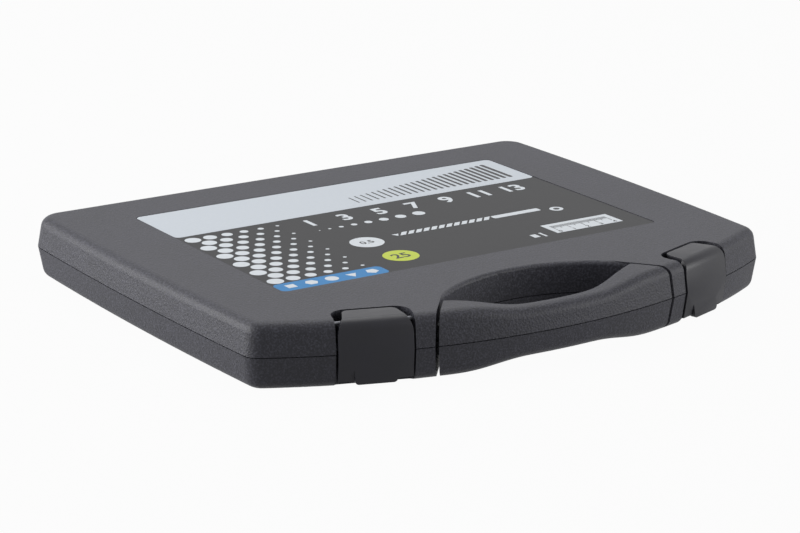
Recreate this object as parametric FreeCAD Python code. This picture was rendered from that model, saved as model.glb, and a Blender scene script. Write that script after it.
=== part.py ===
"""Flat carrying case for drill bits, lying closed on its base.

Millimetres, +Z up, +X to the right seen from the handle side, the handle at -Y. The origin is
the middle of the bounding box's bottom. Two moulded half-shells meet at the parting plane.
The lid turns on two knuckle hinges at the back, and two snap latches at the front hang on pins
in the lid and hook under catches on the base. Handle halves, latches, pins, racks and screws
are pieces of their own.
"""
import FreeCAD
import Part
import math
import os

# Case body
CASE_WIDTH = 360.0
BODY_DEPTH = 308.0
BASE_HEIGHT = 19.0
LID_HEIGHT = 18.0
SEAM_GAP = 0.5
WALL = 2.2
FOOT_RIM = 0.6
FRONT_RADIUS = 350.0
SIDE_RADIUS = 2780.0
SIDE_WIDEST_TO_BACK = 85.0
FRONT_CORNER = 11.0
BACK_CORNER = 15.0
EDGE_RADIUS = 6.5
DRAFT_DEG = 8.0
FOOT_RIM_WIDTH = 16.0
LIP_THICKNESS = 0.8
LIP_HEIGHT = 2.0
LIP_GAP = 0.3
LIP_SETBACK = 0.2
OVERRUN = 5.0

# Handle, slits and finger opening
TIP_X = 65.0
TIP_DEPTH = 29.7
OPENING_DEPTH = 56.7
OPENING_RIM = 2.2
SLIT_DEG = 39.0
SLIT_WIDTH = 2.0
GRIP_THICKNESS = 16.5
GRIP_INNER_RADIUS = 145.0
GRIP_SCOOP = 4.5
GRIP_SCOOP_END_X = 70.0
GRIP_FRONT_ROUND = 6.5
GRIP_INNER_ROUND = 7.6
GRIP_END_ROUND = 3.0
GRIP_WALL = 2.6
GRIP_RIB = 1.6
GRIP_DRAFT_DEG = 3.0
GRIP_FLAT_SHARE = 0.25
GRIP_ROUND_SHARE = 0.8
GRIP_OVERHANG_SHARE = 0.1
GRIP_STATIONS = 23
GRIP_RIB_SHARES = (-0.6, -0.4, -0.2, 0.0, 0.2, 0.4, 0.6)

# Tongues that carry the handle halves across the slits
TONGUE_ALONG = 9.0
TONGUE_WIDTH = 10.0
TONGUE_HEIGHT = 7.0
TONGUE_REACH = 8.0
TONGUE_INSET = 1.0
TONGUE_SCREW_GRIP = 5.0

# Latches
LATCH_X = 112.5
LATCH_WIDTH = 41.4
LATCH_SIDE_GAP = 1.2
LATCH_THICKNESS = 3.0
LATCH_LENGTH_ON_TOP = 20.2
LATCH_TOP_WIDTH = 29.0
LATCH_SHOULDER_WIDTH = 34.8
LATCH_ARCH_HEIGHT = 9.5
LATCH_FOOT_CLEAR = 3.6
LATCH_REAR_CORNER = 4.0
LATCH_CORNER = 9.0
LATCH_REAR_GAP = 2.0
TAB_WIDTH = 23.5
TAB_FLARE = 1.9
TAB_TOP = 6.5
TAB_DROP = 1.8
TAB_CORNER = 2.2
TAB_INNER_SHARE = 0.8
LATCH_PIVOT_DEPTH = 11.0
LATCH_PIVOT_BELOW_TOP = 4.0
LATCH_BARREL_RADIUS = 3.0
LATCH_PIN_RADIUS = 1.25
LATCH_PIN_GRIP = 3.0
RUNNING_GAP = 0.05
BASE_RECESS = 9.0
CATCH_WIDTH = 26.0
CATCH_REACH = 3.6
CATCH_HEIGHT = 4.6
CATCH_BELOW_PARTING = 11.0
CATCH_SLOPE = 0.9
HOOK_OVERLAP = 2.0
HOOK_HEIGHT = 3.2
HOOK_GAP = 0.4

# Hinges at the back
HINGE_TO_SIDE = 62.0
KNUCKLE_RADIUS = 2.6
KNUCKLE_LENGTH = 14.0
KNUCKLE_GAP = 0.4
HINGE_OFFSET = 2.9
HINGE_PIN_RADIUS = 1.1
HINGE_WEB = 9.0
STOP_REACH = 3.8
STOP_RISE = 1.2

# Label
LABEL_TO_SIDE = 50.8
LABEL_TO_FRONT = 87.9
LABEL_TO_BACK = 41.9
LABEL_CORNER = 4.0
LABEL_RECESS = 0.6
LABEL_THICKNESS = 0.4
LABEL_GAP = 0.4

# Racks for the bits
SMALLEST_BIT = 1.0
BIT_STEP = 0.5
BIT_LENGTHS = (56.0, 70.0, 85.0, 95.0, 100.0, 112.0, 119.0, 126.0, 132.0, 139.0, 139.0, 148.0, 156.0,
               156.0, 165.0, 165.0, 175.0, 175.0, 184.0, 184.0, 195.0, 195.0, 205.0, 205.0, 205.0)
BIT_GAP = 5.6
BIT_TOP_DROP = 1.5
BIT_END_TO_BACK = 11.5
SEAT_CLEARANCE = 0.15
RACK_THICKNESS = 8.0
RACK_TOP_DROP = 0.6
RACK_MARGIN = 4.0
RACK_FOOT_LENGTH = 11.0
RACK_FOOT_HEIGHT = 5.6
RACK_BOSS_HEIGHT = 1.4
RACK_BOSS_RADIUS = 3.6
RACK_SCREW_BITE = 2.6
RACK_TO_BACK = {"shank_rack": 39.5, "waist_rack": 65.5, "middle_rack": 137.5, "front_rack": 183.5}
STRIP_WIDTH = 9.0
STRIP_THICKNESS = 0.5

# Foam under the lid
FOAM_TO_SIDE = 24.0
FOAM_TO_FRONT = 68.5
FOAM_TO_BACK = 13.5
FOAM_DROP = 0.7
FOAM_CORNER = 6.0

# Screws
SCREW_RADIUS = 1.4
SCREW_HEAD_RADIUS = 2.8
SCREW_HEAD_HEIGHT = 1.6
SCREW_CLEARANCE = 0.2
SCREW_DRIVE_RADIUS = 1.0
SCREW_DRIVE_DEPTH = 0.9
SCREW_TIP_ROOM = 0.8
BOSS_RADIUS = 3.2

# Levels and places that follow from the sizes above
DRAFT = math.tan(math.radians(DRAFT_DEG))
GRIP_DRAFT = math.tan(math.radians(GRIP_DRAFT_DEG))
HINGE_REACH = HINGE_OFFSET + STOP_REACH
FRONT_Y = -(BODY_DEPTH + HINGE_REACH) / 2
BACK_Y = FRONT_Y + BODY_DEPTH
ARC_Y = FRONT_Y + FRONT_RADIUS
SIDE_Y = BACK_Y - SIDE_WIDEST_TO_BACK
LID_Z = BASE_HEIGHT + SEAM_GAP
TOP_Z = LID_Z + LID_HEIGHT
FLOOR_Z = FOOT_RIM + WALL
CEILING_Z = TOP_Z - WALL
LIP_INSET = WALL - LIP_SETBACK - LIP_THICKNESS
HINGE_X = CASE_WIDTH / 2 - HINGE_TO_SIDE
HINGE_Y = BACK_Y + HINGE_OFFSET
HINGE_Z = BASE_HEIGHT + SEAM_GAP / 2
LATCH_ANGLE = math.degrees(math.asin(LATCH_X / FRONT_RADIUS))
RECESS_HALF = LATCH_WIDTH / 2 + LATCH_SIDE_GAP
LID_RECESS = LATCH_LENGTH_ON_TOP + LATCH_REAR_GAP
PIVOT_Y = FRONT_Y + LATCH_PIVOT_DEPTH
PIVOT_Z = TOP_Z - LATCH_PIVOT_BELOW_TOP
LABEL_WIDTH = CASE_WIDTH - LABEL_TO_SIDE * 2
LABEL_DEPTH = BODY_DEPTH - LABEL_TO_FRONT - LABEL_TO_BACK
FOAM_WIDTH = CASE_WIDTH - FOAM_TO_SIDE * 2
FOAM_DEPTH = BODY_DEPTH - FOAM_TO_FRONT - FOAM_TO_BACK
FOAM_BOTTOM_Z = BASE_HEIGHT - RACK_TOP_DROP + FOAM_DROP
SLIT_X = math.sin(math.radians(SLIT_DEG))
SLIT_Y = -math.cos(math.radians(SLIT_DEG))
TIP_Y = FRONT_Y + TIP_DEPTH


def vec(x, y, z=0.0):
    return FreeCAD.Vector(x, y, z)


def block(x0, x1, y0, y1, z0, z1):
    return Part.makeBox(x1 - x0, y1 - y0, z1 - z0, vec(x0, y0, z0))


def cylinder(radius, start, direction, length):
    return Part.makeCylinder(radius, length, start, direction)


def polygon_face(points):
    return Part.Face(Part.makePolygon(points + points[:1]))


def side_profile(points, x0, x1):
    """Extrude a profile, given as (y, z) points, from x0 to x1."""
    face = polygon_face([vec(x0, y, z) for y, z in points])
    return face.extrude(vec(x1 - x0, 0))


def turned(shape, degrees):
    """Carry a shape made at the middle of the front round the front's arc."""
    copy = shape.copy()
    copy.rotate(vec(0, ARC_Y), vec(0, 0, 1), degrees)
    return copy


def mirrored(shape):
    return shape.mirror(vec(0, 0), vec(1, 0))


def edges_at(shape, z):
    level = [e for e in shape.Edges if all(abs(v.Z - z) < WALL / 100 for v in e.Vertexes)]
    return [e for e in level if abs(e.BoundBox.ZLength) < WALL / 100]


def circle_crossing(c0, r0, c1, r1):
    """The crossing of two circles that has the lower y."""
    gap = c1.sub(c0)
    along = (gap.Length ** 2 + r0 ** 2 - r1 ** 2) / (2 * gap.Length)
    across = math.sqrt(r0 ** 2 - along ** 2)
    unit = gap.normalize()
    foot = c0 + unit * along
    side = vec(unit.y, -unit.x) * across
    return min((foot + side, foot - side), key=lambda point: point.y)


def case_outline(inset, z):
    """Plan outline: bowed front and sides, straight back, corners still sharp."""
    front_centre = vec(0, ARC_Y)
    side_centre = vec(CASE_WIDTH / 2 - SIDE_RADIUS, SIDE_Y)
    side_r = SIDE_RADIUS - inset
    front = circle_crossing(front_centre, FRONT_RADIUS - inset, side_centre, side_r)
    back_y = BACK_Y - inset
    back_x = side_centre.x + math.sqrt(side_r ** 2 - (back_y - SIDE_Y) ** 2)
    up = vec(0, 0, z)
    right_front = front + up
    left_front = vec(-front.x, front.y, z)
    right_back = vec(back_x, back_y, z)
    left_back = vec(-back_x, back_y, z)
    widest = vec(CASE_WIDTH / 2 - inset, SIDE_Y, z)
    return Part.Wire([
        Part.Arc(left_front, vec(0, FRONT_Y + inset, z), right_front).toShape(),
        Part.Arc(right_front, widest, right_back).toShape(),
        Part.LineSegment(right_back, left_back).toShape(),
        Part.Arc(left_back, vec(-widest.x, widest.y, z), left_front).toShape(),
    ])


def round_corners(prism, inset, height):
    """Round the upright corners of a prism that stands on the case outline."""
    uprights = [e for e in prism.Edges if e.BoundBox.ZLength > height / 2]
    front = [e for e in uprights if e.CenterOfMass.y < 0]
    back = [e.CenterOfMass for e in uprights if e.CenterOfMass.y > 0]
    prism = prism.makeFillet(FRONT_CORNER - inset, front)
    back = [e for e in prism.Edges if any(e.CenterOfMass.distanceToPoint(b) < WALL for b in back)]
    return prism.makeFillet(BACK_CORNER - inset, back)


def half_blank(inset, z_part, z_face, rounding):
    """One half of the case as a drafted, filled body, widest at the parting plane."""
    height = abs(z_face - z_part)
    blank = Part.makeLoft([case_outline(inset, z_part), case_outline(inset + height * DRAFT, z_face)], True, True)
    blank = round_corners(blank, inset, height)
    return blank.makeFillet(rounding, edges_at(blank, z_face))


def cavity_blank(z_part, z_face):
    """The inside of a half, run on a little past the parting plane."""
    past = OVERRUN * math.copysign(1, z_part - z_face)
    return half_blank(WALL - OVERRUN * DRAFT, z_part + past, z_face, EDGE_RADIUS - WALL)


def bay_face(grow, z):
    """Plan of the room that the handle and the finger opening take out of the front."""
    far = FRONT_RADIUS / 4
    crown = vec(0, FRONT_Y + OPENING_DEPTH, z)
    tip = vec(TIP_X, TIP_Y, z)
    left_tip = vec(-TIP_X, TIP_Y, z)
    end = tip + vec(SLIT_X, SLIT_Y) * far
    left_end = vec(-end.x, end.y, z)
    wire = Part.Wire([
        Part.Arc(left_tip, crown, tip).toShape(),
        Part.LineSegment(tip, end).toShape(),
        Part.LineSegment(end, left_end).toShape(),
        Part.LineSegment(left_end, left_tip).toShape(),
    ])
    face = Part.Face(wire)
    if grow:
        face = face.makeOffset2D(grow)
    return face


def bay(grow):
    height = TOP_Z + OVERRUN * 2
    return bay_face(grow, -OVERRUN).extrude(vec(0, 0, height))


def recess_zone(half_width, depth, corner):
    """Room round a latch, made at the middle of the front."""
    tool = block(-half_width, half_width, FRONT_Y - OVERRUN * 2, FRONT_Y + depth, -OVERRUN, TOP_Z + OVERRUN)
    rear = [e for e in tool.Edges if e.BoundBox.ZLength > BASE_HEIGHT and e.CenterOfMass.y > FRONT_Y]
    return tool.makeFillet(corner, rear)


def both_latches(shape):
    return [turned(shape, LATCH_ANGLE), turned(shape, -LATCH_ANGLE)]


def slit_place(side, along, across):
    """Point by a slit: along it from the tip, and across it from the case's side of the slit."""
    x = TIP_X + SLIT_X * along - SLIT_Y * across
    y = TIP_Y + SLIT_Y * along + SLIT_X * across
    return vec(side * x, y)


def tongue(side, part_z, up):
    """Tongue on a handle half that crosses the slit and lies on a boss in the shell."""
    near = -SLIT_WIDTH - GRIP_WALL / 2
    far = WALL + TONGUE_REACH
    start = TONGUE_ALONG - TONGUE_WIDTH / 2
    end = TONGUE_ALONG + TONGUE_WIDTH / 2
    corners = [slit_place(side, start, near), slit_place(side, end, near),
               slit_place(side, end, far), slit_place(side, start, far)]
    face = polygon_face([point + vec(0, 0, part_z) for point in corners])
    return face.extrude(vec(0, 0, up * TONGUE_HEIGHT))


def tongue_screw_place(side):
    return slit_place(side, TONGUE_ALONG, WALL + TONGUE_REACH / 2)


def rounded_rim(outer, inner, z0, z1):
    """Ring along the wall with the case's corner radii."""
    rings = []
    for inset in (outer, inner):
        prism = Part.Face(case_outline(inset, z0)).extrude(vec(0, 0, z1 - z0))
        rings.append(round_corners(prism, inset, z1 - z0))
    return rings[0].cut(rings[1])


def base_shell():
    shell = half_blank(0, BASE_HEIGHT, 0, EDGE_RADIUS)
    cavity = cavity_blank(BASE_HEIGHT, FLOOR_Z).cut(bay(WALL))
    recess_wall = recess_zone(RECESS_HALF + WALL, BASE_RECESS + WALL, WALL)
    deck = block(-RECESS_HALF - WALL, RECESS_HALF + WALL, FRONT_Y, FRONT_Y + LID_RECESS + WALL,
                 BASE_HEIGHT - WALL, BASE_HEIGHT + OVERRUN * 2)
    for zone in both_latches(recess_wall.fuse(deck)):
        cavity = cavity.cut(zone)
    lip = rounded_rim(LIP_INSET, LIP_INSET + LIP_THICKNESS, BASE_HEIGHT - WALL / 2, BASE_HEIGHT + LIP_HEIGHT)
    lip = lip.cut(front_middle())
    for zone in both_latches(recess_zone(RECESS_HALF + WALL * 2, LID_RECESS + WALL, WALL)):
        lip = lip.cut(zone)
    shell = shell.cut(cavity).cut(bay(0)).fuse(lip)
    for zone in both_latches(recess_zone(RECESS_HALF, BASE_RECESS, WALL)):
        shell = shell.cut(zone)
    for piece in both_latches(catch()):
        shell = shell.fuse(piece)
    shell = shell.cut(foot_recess())
    for centre in (-HINGE_X, HINGE_X):
        for x0 in (-KNUCKLE_LENGTH * 1.5 - KNUCKLE_GAP, KNUCKLE_LENGTH / 2 + KNUCKLE_GAP):
            shell = shell.fuse(base_knuckle(centre + x0))
        shell = shell.cut(hinge_rod(centre, HINGE_PIN_RADIUS))
    for name in RACK_TO_BACK:
        for x, y in rack_screw_places(name):
            boss_top = vec(x, y, FLOOR_Z + RACK_BOSS_HEIGHT)
            shell = shell.fuse(cylinder(RACK_BOSS_RADIUS, boss_top, vec(0, 0, -1), RACK_BOSS_HEIGHT + WALL / 2))
            shell = shell.cut(cylinder(SCREW_RADIUS, boss_top, vec(0, 0, -1), RACK_SCREW_BITE))
    tongue_bottom = BASE_HEIGHT - TONGUE_INSET - TONGUE_HEIGHT
    for side in (-1, 1):
        place = tongue_screw_place(side)
        boss = cylinder(BOSS_RADIUS, place + vec(0, 0, FOOT_RIM + WALL / 2), vec(0, 0, 1),
                        tongue_bottom - FOOT_RIM - WALL / 2)
        shell = shell.fuse(boss.cut(recess_side(BASE_RECESS)))
        shell = shell.cut(tongue(side, BASE_HEIGHT - TONGUE_INSET, -1))
        shell = shell.cut(cylinder(SCREW_RADIUS, place + vec(0, 0, tongue_bottom - TONGUE_SCREW_GRIP),
                                   vec(0, 0, 1), TONGUE_SCREW_GRIP))
    return shell


def front_middle():
    """Room between the latches, where the rim has no lip."""
    far_y = FRONT_Y + OPENING_DEPTH + OVERRUN
    return block(-LATCH_X, LATCH_X, FRONT_Y - OVERRUN, far_y, -OVERRUN, TOP_Z + OVERRUN)


def recess_side(depth):
    """Both latch recesses as one tool."""
    left, right = both_latches(recess_zone(RECESS_HALF, depth, WALL))
    return left.fuse(right)


def catch():
    """Ledge in a latch recess that the latch's hook snaps under."""
    wall_y = FRONT_Y + BASE_RECESS
    tip_y = wall_y - CATCH_REACH
    low = BASE_HEIGHT - CATCH_BELOW_PARTING
    points = [(wall_y + WALL / 2, low), (wall_y, low), (tip_y, low + CATCH_SLOPE),
              (tip_y, low + CATCH_HEIGHT / 2), (wall_y, low + CATCH_HEIGHT),
              (wall_y + WALL / 2, low + CATCH_HEIGHT)]
    return side_profile(points, -CATCH_WIDTH / 2, CATCH_WIDTH / 2)


def foot_recess():
    """Shallow hollow in the bottom, which leaves a rim to stand on."""
    tool = Part.Face(case_outline(FOOT_RIM_WIDTH, -OVERRUN)).extrude(vec(0, 0, OVERRUN + FOOT_RIM))
    uprights = [e for e in tool.Edges if e.BoundBox.ZLength > OVERRUN / 2]
    tool = tool.makeFillet(FRONT_CORNER, uprights)
    tool = tool.cut(bay(FOOT_RIM_WIDTH / 2))
    rim = FOOT_RIM_WIDTH / 2
    for zone in both_latches(recess_zone(RECESS_HALF + rim, BASE_RECESS + rim, WALL)):
        tool = tool.cut(zone)
    return tool


def base_knuckle(x0):
    """Knuckle on the base, with the corner that stops the open lid."""
    y_wall = BACK_Y - WALL
    points = [(y_wall, BASE_HEIGHT), (HINGE_Y, BASE_HEIGHT), (HINGE_Y, HINGE_Z + KNUCKLE_RADIUS),
              (HINGE_Y + STOP_REACH, HINGE_Z + STOP_RISE), (HINGE_Y + STOP_REACH, HINGE_Z - STOP_RISE),
              (y_wall, BASE_HEIGHT - HINGE_WEB)]
    web = side_profile(points, x0, x0 + KNUCKLE_LENGTH)
    return web.fuse(cylinder(KNUCKLE_RADIUS, vec(x0, HINGE_Y, HINGE_Z), vec(1, 0), KNUCKLE_LENGTH))


def lid_knuckle(x0):
    y_wall = BACK_Y - WALL
    y_rebate = BACK_Y - LIP_INSET + LIP_GAP
    z_rebate = BASE_HEIGHT + LIP_HEIGHT + LIP_GAP
    bulge = KNUCKLE_RADIUS / math.sqrt(2)
    points = [(y_rebate, LID_Z), (HINGE_Y, LID_Z), (HINGE_Y + bulge, HINGE_Z + bulge),
              (y_wall, LID_Z + HINGE_WEB), (y_wall, z_rebate), (y_rebate, z_rebate)]
    web = side_profile(points, x0, x0 + KNUCKLE_LENGTH)
    return web.fuse(cylinder(KNUCKLE_RADIUS, vec(x0, HINGE_Y, HINGE_Z), vec(1, 0), KNUCKLE_LENGTH))


def hinge_rod(centre, radius):
    half = KNUCKLE_LENGTH * 1.5 + KNUCKLE_GAP
    return cylinder(radius, vec(centre - half, HINGE_Y, HINGE_Z), vec(1, 0), half * 2)


def lid_shell():
    shell = half_blank(0, LID_Z, TOP_Z, EDGE_RADIUS)
    cavity = cavity_blank(LID_Z, CEILING_Z).cut(bay(WALL))
    rebate = rounded_rim(LIP_INSET - LIP_GAP, WALL * 2, LID_Z - OVERRUN, BASE_HEIGHT + LIP_HEIGHT + LIP_GAP)
    rebate = rebate.cut(front_middle())
    for zone in both_latches(recess_zone(RECESS_HALF + WALL, LID_RECESS + WALL, LATCH_CORNER + WALL)):
        cavity = cavity.cut(zone)
        rebate = rebate.cut(zone)
    shell = shell.cut(cavity).cut(bay(0)).cut(rebate)
    rim_radius = bay_arc_radius()
    rim = [e for e in edges_at(shell, TOP_Z) if isinstance(e.Curve, Part.Circle)
           and abs(e.Curve.Radius - rim_radius) < WALL]
    shell = shell.makeFillet(OPENING_RIM, rim)
    shell = shell.cut(recess_side_lid()).cut(label_room())
    for centre in (-HINGE_X, HINGE_X):
        shell = shell.fuse(lid_knuckle(centre - KNUCKLE_LENGTH / 2))
        shell = shell.cut(hinge_rod(centre, HINGE_PIN_RADIUS + RUNNING_GAP))
    for side in (-1, 1):
        shell = shell.fuse(turned(pin_bosses(), side * LATCH_ANGLE))
        shell = shell.cut(turned(latch_pin(), side * LATCH_ANGLE))
    tongue_top = LID_Z + TONGUE_INSET + TONGUE_HEIGHT
    for side in (-1, 1):
        place = tongue_screw_place(side)
        boss_height = CEILING_Z + WALL / 2 - tongue_top
        boss = cylinder(BOSS_RADIUS, place + vec(0, 0, tongue_top), vec(0, 0, 1), boss_height)
        shell = shell.fuse(boss.cut(recess_side_lid()))
        shell = shell.cut(tongue(side, LID_Z + TONGUE_INSET, 1))
        shell = shell.cut(cylinder(SCREW_RADIUS, place + vec(0, 0, tongue_top), vec(0, 0, 1), TONGUE_SCREW_GRIP))
    return shell


def bay_arc_radius():
    rise = OPENING_DEPTH - TIP_DEPTH
    return (TIP_X ** 2 + rise ** 2) / (2 * rise)


def recess_side_lid():
    left, right = both_latches(recess_zone(RECESS_HALF, LID_RECESS, LATCH_CORNER))
    return left.fuse(right)


def pin_bosses():
    bosses = [cylinder(BOSS_RADIUS, vec(side * RECESS_HALF, PIVOT_Y, PIVOT_Z), vec(side, 0), LATCH_PIN_GRIP)
              for side in (-1, 1)]
    return Part.makeCompound(bosses)


def label_plate(width, depth, corner, z0, z1):
    y0 = FRONT_Y + LABEL_TO_FRONT + (LABEL_DEPTH - depth) / 2
    plate = block(-width / 2, width / 2, y0, y0 + depth, z0, z1)
    return plate.makeFillet(corner, [e for e in plate.Edges if e.BoundBox.ZLength > (z1 - z0) / 2])


def label_room():
    return label_plate(LABEL_WIDTH, LABEL_DEPTH, LABEL_CORNER, TOP_Z - LABEL_RECESS, TOP_Z + OVERRUN)


def label_panel():
    z0 = TOP_Z - LABEL_RECESS
    return label_plate(LABEL_WIDTH - LABEL_GAP * 2, LABEL_DEPTH - LABEL_GAP * 2, LABEL_CORNER - LABEL_GAP,
                       z0, z0 + LABEL_THICKNESS)


def lid_foam():
    """Pad glued to the lid's ceiling, which holds the bits in their seats."""
    y1 = BACK_Y - FOAM_TO_BACK
    pad = block(-FOAM_WIDTH / 2, FOAM_WIDTH / 2, y1 - FOAM_DEPTH, y1, FOAM_BOTTOM_Z, CEILING_Z)
    return pad.makeFillet(FOAM_CORNER, [e for e in pad.Edges if e.BoundBox.ZLength > WALL])


def rounded_corner(corner, radius, slope_deg, outward, up):
    """Start, middle and end of the arc where a drafted wall meets a level top."""
    reach = radius * math.tan(math.radians((90 - slope_deg) / 2))
    lean = math.radians(slope_deg)
    y, z = corner
    start = (y + outward * reach * math.sin(lean), z - up * reach * math.cos(lean))
    end = (y - outward * reach, z)
    middle_angle = math.radians((90 + slope_deg) / 2)
    centre = (end[0], z - up * radius)
    middle = (centre[0] + outward * radius * math.cos(middle_angle),
              centre[1] + up * radius * math.sin(middle_angle))
    return start, middle, end


def grip_depth(angle):
    """Thickness of the handle bar along the radius of the front's arc."""
    inner_centre = FRONT_Y + GRIP_THICKNESS + GRIP_INNER_RADIUS
    between = ARC_Y - inner_centre
    sine = math.sin(angle)
    reach = between * math.cos(angle) + math.sqrt(GRIP_INNER_RADIUS ** 2 - (between * sine) ** 2)
    return FRONT_RADIUS - reach


def grip_blend(angle):
    """0 in the middle of the handle, 1 at its ends, and steady in its curvature between."""
    x = abs(FRONT_RADIUS * math.sin(angle))
    start = GRIP_SCOOP_END_X * GRIP_FLAT_SHARE
    share = min(1.0, max(0.0, (x - start) / (GRIP_SCOOP_END_X - start)))
    return share ** 3 * (share * (6 * share - 15) + 10)


def grip_section(angle, part_z, up, height, inset):
    """Outline of one handle half at an angle round the front's arc."""
    blend = grip_blend(angle)
    tall = height - GRIP_SCOOP * (1 - blend) - inset
    deep = grip_depth(angle)
    front = FRONT_Y + inset
    inner = FRONT_Y + deep - inset
    top = part_z + up * tall
    front_round = GRIP_FRONT_ROUND - inset
    inner_round = GRIP_INNER_ROUND + (GRIP_END_ROUND - GRIP_INNER_ROUND) * blend - inset * GRIP_ROUND_SHARE
    front_arc = rounded_corner((front + DRAFT * tall, top), front_round, DRAFT_DEG, -1, up)
    inner_arc = rounded_corner((inner - GRIP_DRAFT * tall, top), inner_round, GRIP_DRAFT_DEG, 1, up)
    points = [(front, part_z)] + list(front_arc) + list(reversed(inner_arc)) + [(inner, part_z)]
    p = [vec(0, y, z) for y, z in points]
    wire = Part.Wire([
        Part.LineSegment(p[0], p[1]).toShape(),
        Part.Arc(p[1], p[2], p[3]).toShape(),
        Part.LineSegment(p[3], p[4]).toShape(),
        Part.Arc(p[4], p[5], p[6]).toShape(),
        Part.LineSegment(p[6], p[7]).toShape(),
        Part.LineSegment(p[7], p[0]).toShape(),
    ])
    return turned(wire, math.degrees(angle))


def grip_loft(part_z, up, height, inset):
    widest = math.asin((TIP_X + FRONT_RADIUS * GRIP_OVERHANG_SHARE) / FRONT_RADIUS)
    sections = []
    for number in range(GRIP_STATIONS):
        share = 2 * number / (GRIP_STATIONS - 1) - 1
        sections.append(grip_section(widest * share, part_z, up, height, inset))
    return Part.makeLoft(sections, True, False)


def handle_half(part_z, up, height):
    """One half of the carrying handle: a hollow bar with ribs, and a tongue at each end."""
    bar = grip_loft(part_z, up, height, 0).common(bay(-SLIT_WIDTH))
    hollow = grip_loft(part_z - up * SEAM_GAP, up, height + SEAM_GAP, GRIP_WALL)
    hollow = hollow.common(bay(-SLIT_WIDTH - GRIP_WALL))
    half_angle = math.degrees(math.asin(TIP_X / FRONT_RADIUS))
    for share in GRIP_RIB_SHARES:
        rib = block(-GRIP_RIB / 2, GRIP_RIB / 2, FRONT_Y, FRONT_Y + GRIP_THICKNESS * 2,
                    min(part_z, part_z + up * height), max(part_z, part_z + up * height))
        hollow = hollow.cut(turned(rib, share * half_angle))
    half = bar.cut(hollow)
    inset_z = part_z + up * TONGUE_INSET
    for side in (-1, 1):
        half = half.fuse(tongue(side, inset_z, up))
        place = tongue_screw_place(side)
        start = place + vec(0, 0, inset_z)
        outward = vec(0, 0, up)
        half = half.cut(cylinder(SCREW_RADIUS + SCREW_CLEARANCE, start, outward, TONGUE_HEIGHT))
        half = half.cut(cylinder(SCREW_HEAD_RADIUS + SCREW_CLEARANCE, start, outward, SCREW_HEAD_HEIGHT))
    return half


def latch_profile():
    """Section of the latch plate, following the case's front and top."""
    low_z = LATCH_FOOT_CLEAR
    low = FRONT_Y + (HINGE_Z - low_z) * DRAFT
    top = FRONT_Y + (TOP_Z - HINGE_Z) * DRAFT
    rear = FRONT_Y + LATCH_LENGTH_ON_TOP
    thick = LATCH_THICKNESS
    points = [(low, low_z), (FRONT_Y, HINGE_Z), (top, TOP_Z), (rear, TOP_Z), (rear, TOP_Z - thick),
              (top + thick, TOP_Z - thick), (FRONT_Y + thick, HINGE_Z), (low + thick, low_z)]
    plate = side_profile(points, -LATCH_WIDTH / 2, LATCH_WIDTH / 2)
    long_edges = [e for e in plate.Edges if e.BoundBox.XLength > LATCH_WIDTH / 2]
    outer = [e for e in long_edges if abs(e.CenterOfMass.y - top) < WALL / 100 and e.CenterOfMass.z > HINGE_Z]
    plate = plate.makeFillet(EDGE_RADIUS, outer)
    long_edges = [e for e in plate.Edges if e.BoundBox.XLength > LATCH_WIDTH / 2]
    inner = [e for e in long_edges if abs(e.CenterOfMass.z - TOP_Z + thick) < WALL / 100
             and e.CenterOfMass.y < rear - thick]
    return plate.makeFillet(EDGE_RADIUS - thick, inner)


def arch_tool():
    """Front view of the latch: straight sides that curve in towards the top."""
    half = LATCH_WIDTH / 2
    shoulder = LATCH_SHOULDER_WIDTH / 2
    step = half - shoulder
    radius = (step ** 2 + LATCH_ARCH_HEIGHT ** 2) / (2 * step)
    sweep = math.asin(LATCH_ARCH_HEIGHT / radius) / 2
    y = FRONT_Y - OVERRUN
    spring_z = TOP_Z - LATCH_ARCH_HEIGHT
    mid_x = half - radius * (1 - math.cos(sweep))
    mid_z = spring_z + radius * math.sin(sweep)
    wire = Part.Wire([
        Part.makePolygon([vec(-half, y, spring_z), vec(-half, y, 0), vec(half, y, 0), vec(half, y, spring_z)]),
        Part.Arc(vec(half, y, spring_z), vec(mid_x, y, mid_z), vec(shoulder, y, TOP_Z)).toShape(),
        Part.makePolygon([vec(shoulder, y, TOP_Z), vec(shoulder, y, TOP_Z + OVERRUN),
                          vec(-shoulder, y, TOP_Z + OVERRUN), vec(-shoulder, y, TOP_Z)]),
        Part.Arc(vec(-shoulder, y, TOP_Z), vec(-mid_x, y, mid_z), vec(-half, y, spring_z)).toShape(),
    ])
    return Part.Face(wire).extrude(vec(0, LATCH_LENGTH_ON_TOP + OVERRUN * 2))


def plan_tool():
    """Top view of the latch: narrower towards its rounded rear corners."""
    half = LATCH_WIDTH / 2 + OVERRUN
    shoulder = LATCH_SHOULDER_WIDTH / 2
    rear = LATCH_TOP_WIDTH / 2
    front_y = FRONT_Y - OVERRUN
    step_y = FRONT_Y + EDGE_RADIUS
    rear_y = FRONT_Y + LATCH_LENGTH_ON_TOP
    points = [(-half, front_y), (half, front_y), (half, step_y), (shoulder, step_y), (rear, rear_y),
              (-rear, rear_y), (-shoulder, step_y), (-half, step_y)]
    tool = polygon_face([vec(x, y) for x, y in points]).extrude(vec(0, 0, TOP_Z + OVERRUN))
    uprights = [e for e in tool.Edges if e.BoundBox.ZLength > TOP_Z]
    corners = [e for e in uprights if abs(e.CenterOfMass.y - rear_y) < WALL / 100]
    return tool.makeFillet(LATCH_REAR_CORNER, corners)


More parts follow.
